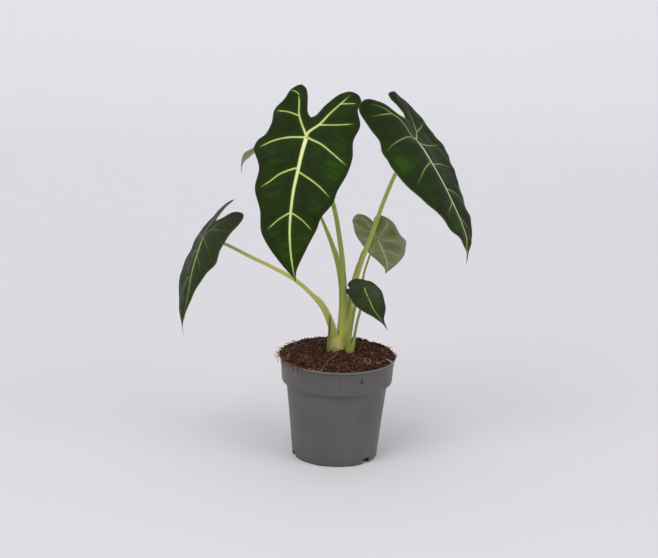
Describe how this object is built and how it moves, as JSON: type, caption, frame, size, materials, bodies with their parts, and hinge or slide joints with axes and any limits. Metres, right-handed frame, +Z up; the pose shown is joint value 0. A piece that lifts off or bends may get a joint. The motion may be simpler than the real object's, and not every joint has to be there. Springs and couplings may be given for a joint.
{
  "type": "potted alocasia",
  "caption": "Young alocasia with arrow-shaped velvety leaves and pale veins, on upright stems, growing in potting mix in a round grey nursery pot that stands on a table",
  "frame": {"origin": "centre of the pot's flat underside, on the surface that it stands on", "axes": "+Z up, +X to the right of the plant's front, +Y to its back; metres"},
  "size_m": [0.2935, 0.1556, 0.3927],
  "materials": {
    "pot": "semi-matte grey moulded plastic, slightly lighter at the lip",
    "mix": "red-brown coir and peat with golden fibres, rough",
    "corm": "papery beige-brown corm skin",
    "blade": "velvety very dark green upper side with pale yellow-green veins, grey-green underside",
    "stem": "smooth yellow-green fleshy stem, slightly glossy",
    "fibre": "dry golden-brown plant fibre"
  },
  "bodies": {
    "root": {"pot": "pot", "potting_mix": "mix", "main_corm": "corm", "side_corm": "corm", "spear_shoot": "stem", "root_strand": "fibre", "left_straw": "fibre", "right_straw": "fibre", "curled_fibre": "fibre", "centre_leaf_blade": "blade", "centre_leaf_stem": "stem", "right_leaf_blade": "blade", "right_leaf_stem": "stem", "left_leaf_blade": "blade", "left_leaf_stem": "stem", "rear_leaf_blade": "blade", "rear_leaf_stem": "stem", "back_leaf_blade": "blade", "back_leaf_stem": "stem", "front_leaf_blade": "blade", "front_leaf_stem": "stem"}
  },
  "joints": []
}
